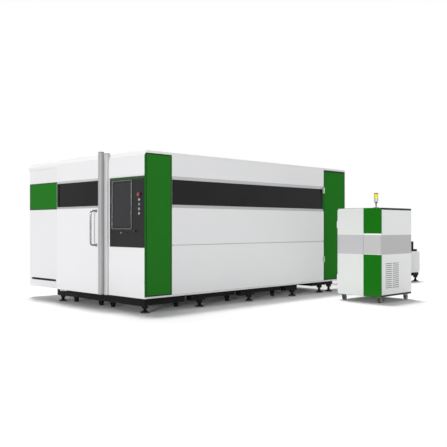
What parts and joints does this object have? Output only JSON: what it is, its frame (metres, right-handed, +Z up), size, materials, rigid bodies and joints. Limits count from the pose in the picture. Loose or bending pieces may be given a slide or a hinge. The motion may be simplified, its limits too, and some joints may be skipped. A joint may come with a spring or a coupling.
{
  "type": "fiber laser cutting machine",
  "caption": "Enclosed fiber laser cutting machine with sliding end door, gantry, exchange table with toothed-slat pallets and a separate wheeled cabinet with a beacon.",
  "frame": {"origin": "centre of the whole set's bounding box, on the floor", "axes": "+Z up, +X along the machine from the operator's end door to the exchange table, +Y from the long window side to the rear service bay"},
  "size_m": [7.687, 4.682, 2.24],
  "materials": {
    "white_paint": "powder coated sheet, fine texture, semi-gloss",
    "green_paint": "powder coated sheet, semi-gloss",
    "dark_green_paint": "powder coated sheet, semi-gloss",
    "grey_trim": "satin grey paint",
    "satin_post": "satin anodised",
    "dark_glass": "smoked laser safety glass",
    "screen_glass": "dark display, gloss",
    "console_grey": "dark grey textured paint",
    "bezel_metal": "dark anodised with a bright edge",
    "black_steel": "black paint, satin",
    "rail_steel": "ground steel",
    "pallet_steel": "mild steel, mill finish",
    "beam_paint": "light grey paint",
    "chrome_tube": "polished tube",
    "red_plastic": "gloss",
    "amber_plastic": "translucent lens",
    "collar_plastic": "satin",
    "green_plastic": "gloss",
    "grey_plastic": "satin",
    "tyre_rubber": "matt",
    "zinc": "zinc plated"
  },
  "bodies": {
    "machine": {"bed_frame": "black_steel", "levelling_feet": "black_steel", "bed_jacks": "black_steel", "cabin_frame": "white_paint", "end_wall": "white_paint", "near_pillar": "green_paint", "side_top_panel": "white_paint", "side_lower_panels": "white_paint", "window_trim": "grey_trim", "side_window": "dark_glass", "roof": "white_paint", "rear_bay": "white_paint", "rear_band": "green_paint", "far_portal": "white_paint", "hinges": "white_paint", "fixed_post": "satin_post", "door_tracks": "white_paint", "console_fascia": "console_grey", "screen_bezel": "bezel_metal", "screen": "screen_glass", "switch_collars": "collar_plastic", "x_rails": "rail_steel", "exchange_frame": "black_steel", "exchange_covers": "white_paint", "end_brackets": "black_steel", "cabinet_shell": "white_paint", "cabinet_column": "green_paint", "cabinet_lid_and_base": "dark_green_paint", "beacon_mast": "grey_plastic", "beacon_lights": "amber_plastic"},
    "end_door": {"door_panel": "white_paint", "door_window": "dark_glass", "door_post": "satin_post", "door_handle": "chrome_tube"},
    "service_door": {"service_door": "green_paint"},
    "lift_gate": {"lift_gate": "grey_trim"},
    "gantry": {"gantry_beam": "beam_paint"},
    "carriage": {"cross_carriage": "black_steel"},
    "head": {"z_slide": "rail_steel", "cutting_head": "chrome_tube"},
    "upper_pallet": {"upper_pallet": "black_steel", "upper_slats": "pallet_steel"},
    "lower_pallet": {"lower_pallet": "black_steel", "lower_slats": "pallet_steel"},
    "cabinet_door": {"cabinet_door": "white_paint"},
    "stop_button": {"stop_button": "red_plastic"},
    "selector_knob": {"selector_knob": "collar_plastic"},
    "quarter_turn_latch": {"quarter_turn_latch": "zinc"},
    "push_button_1": {"push_button_1": "collar_plastic"},
    "caster_fork_1": {"caster_fork_1": "zinc"},
    "caster_wheel_1": {"caster_wheel_1": "tyre_rubber"},
    "push_button_2": {"push_button_2": "green_plastic"},
    "caster_fork_2": {"caster_fork_2": "zinc"},
    "caster_wheel_2": {"caster_wheel_2": "tyre_rubber"},
    "push_button_3": {"push_button_3": "collar_plastic"},
    "caster_fork_3": {"caster_fork_3": "zinc"},
    "caster_wheel_3": {"caster_wheel_3": "tyre_rubber"},
    "push_button_4": {"push_button_4": "collar_plastic"},
    "caster_fork_4": {"caster_fork_4": "zinc"},
    "caster_wheel_4": {"caster_wheel_4": "tyre_rubber"}
  },
  "joints": [
    {"name": "end_door_slide", "type": "slide", "parent": "machine", "child": "end_door", "axis": [0, 1, 0], "range_m": [0, 0.95]},
    {"name": "service_door_hinge", "type": "hinge", "parent": "machine", "child": "service_door", "pos_m": [0.3555, -0.738, 1.2], "axis": [0, 0, -1], "range_deg": [0, 110]},
    {"name": "lift_gate_slide", "type": "slide", "parent": "machine", "child": "lift_gate", "axis": [0, 0, 1], "range_m": [0, 0.75]},
    {"name": "gantry_slide", "type": "slide", "parent": "machine", "child": "gantry", "axis": [1, 0, 0], "range_m": [0, 2.5]},
    {"name": "carriage_slide", "type": "slide", "parent": "gantry", "child": "carriage", "axis": [0, 1, 0], "range_m": [-0.15, 1.25]},
    {"name": "head_slide", "type": "slide", "parent": "carriage", "child": "head", "axis": [0, 0, 1], "range_m": [-0.135, 0]},
    {"name": "upper_pallet_slide", "type": "slide", "parent": "machine", "child": "upper_pallet", "axis": [1, 0, 0], "range_m": [0, 4.1]},
    {"name": "lower_pallet_slide", "type": "slide", "parent": "machine", "child": "lower_pallet", "axis": [1, 0, 0], "range_m": [-4.1, 0]},
    {"name": "cabinet_door_hinge", "type": "hinge", "parent": "machine", "child": "cabinet_door", "pos_m": [-0.3815, -1.542, 0.76], "axis": [0, 0, -1], "range_deg": [0, 110]},
    {"name": "stop_button_push", "type": "slide", "parent": "machine", "child": "stop_button", "axis": [1, 0, 0], "range_m": [0, 0.006], "stiffness_N_per_m": 200},
    {"name": "push_button_1_push", "type": "slide", "parent": "machine", "child": "push_button_1", "axis": [1, 0, 0], "range_m": [0, 0.004], "stiffness_N_per_m": 120},
    {"name": "push_button_2_push", "type": "slide", "parent": "machine", "child": "push_button_2", "axis": [1, 0, 0], "range_m": [0, 0.004], "stiffness_N_per_m": 120},
    {"name": "push_button_3_push", "type": "slide", "parent": "machine", "child": "push_button_3", "axis": [1, 0, 0], "range_m": [0, 0.004], "stiffness_N_per_m": 120},
    {"name": "push_button_4_push", "type": "slide", "parent": "machine", "child": "push_button_4", "axis": [1, 0, 0], "range_m": [0, 0.004], "stiffness_N_per_m": 120},
    {"name": "selector_knob_turn", "type": "hinge", "parent": "machine", "child": "selector_knob", "pos_m": [-3.6555, -0.547, 1.11], "axis": [1, 0, 0], "range_deg": [0, 90]},
    {"name": "quarter_turn_latch_turn", "type": "hinge", "parent": "machine", "child": "quarter_turn_latch", "pos_m": [-3.6555, -0.227, 1.085], "axis": [1, 0, 0], "range_deg": [0, 90]},
    {"name": "caster_1_swivel", "type": "hinge", "parent": "machine", "child": "caster_fork_1", "pos_m": [-0.3235, -2.271, 0.0947], "axis": [0, 0, 1], "continuous": true},
    {"name": "caster_1_spin", "type": "hinge", "parent": "caster_fork_1", "child": "caster_wheel_1", "pos_m": [-0.3035, -2.271, 0.0375], "axis": [0, 1, 0], "continuous": true},
    {"name": "caster_2_swivel", "type": "hinge", "parent": "machine", "child": "caster_fork_2", "pos_m": [-0.3235, -1.621, 0.0947], "axis": [0, 0, 1], "continuous": true},
    {"name": "caster_2_spin", "type": "hinge", "parent": "caster_fork_2", "child": "caster_wheel_2", "pos_m": [-0.3035, -1.621, 0.0375], "axis": [0, 1, 0], "continuous": true},
    {"name": "caster_3_swivel", "type": "hinge", "parent": "machine", "child": "caster_fork_3", "pos_m": [0.4435, -2.271, 0.0947], "axis": [0, 0, 1], "continuous": true},
    {"name": "caster_3_spin", "type": "hinge", "parent": "caster_fork_3", "child": "caster_wheel_3", "pos_m": [0.4635, -2.271, 0.0375], "axis": [0, 1, 0], "continuous": true},
    {"name": "caster_4_swivel", "type": "hinge", "parent": "machine", "child": "caster_fork_4", "pos_m": [0.4435, -1.621, 0.0947], "axis": [0, 0, 1], "continuous": true},
    {"name": "caster_4_spin", "type": "hinge", "parent": "caster_fork_4", "child": "caster_wheel_4", "pos_m": [0.4635, -1.621, 0.0375], "axis": [0, 1, 0], "continuous": true}
  ]
}
